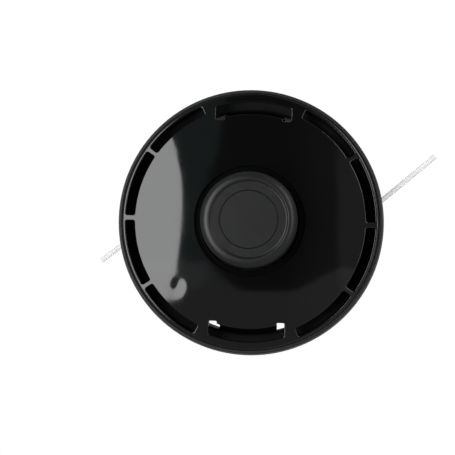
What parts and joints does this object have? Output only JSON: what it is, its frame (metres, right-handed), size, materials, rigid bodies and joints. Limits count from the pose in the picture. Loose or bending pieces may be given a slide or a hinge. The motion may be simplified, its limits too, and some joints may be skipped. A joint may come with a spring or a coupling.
{
  "type": "trimmer head",
  "caption": "Round tap-feed trimmer head with a slotted domed cover, a central knob on a sprung spool and free line ends.",
  "frame": {"origin": "centre of the hub's seat face, on the drive axis, which is also the lowest plane of the head", "axes": "+Z along the drive axis towards the knob (ground side), +X towards the wall that carries one eyelet, +Y towards one latch"},
  "size_m": [0.1649, 0.13, 0.0625],
  "materials": {
    "cover_plastic": "glossy moulded nylon",
    "housing_plastic": "satin moulded nylon",
    "knob_plastic": "matt moulded nylon",
    "spool_plastic": "satin moulded nylon",
    "nut_steel": "zinc plated",
    "spring_steel": "drawn wire",
    "eyelet_metal": "turned",
    "line_nylon": "clear extruded nylon"
  },
  "bodies": {
    "head": {"housing": "housing_plastic", "drive_nut": "nut_steel", "cover": "cover_plastic", "eyelet_right": "eyelet_metal", "eyelet_left": "eyelet_metal", "line_tail_right": "line_nylon", "line_tail_left": "line_nylon", "spring": "spring_steel"},
    "spool_set": {"spool": "spool_plastic", "tap_button": "knob_plastic", "spring_washer": "nut_steel", "line_winding_lower": "line_nylon", "line_winding_upper": "line_nylon"}
  },
  "joints": [
    {"name": "tap_slide", "type": "slide", "parent": "head", "child": "spool_set", "axis": [0, 0, -1], "range_m": [0, 0.006], "stiffness_N_per_m": 2000, "springref_m": -0.006, "deforming": ["spring"]}
  ]
}
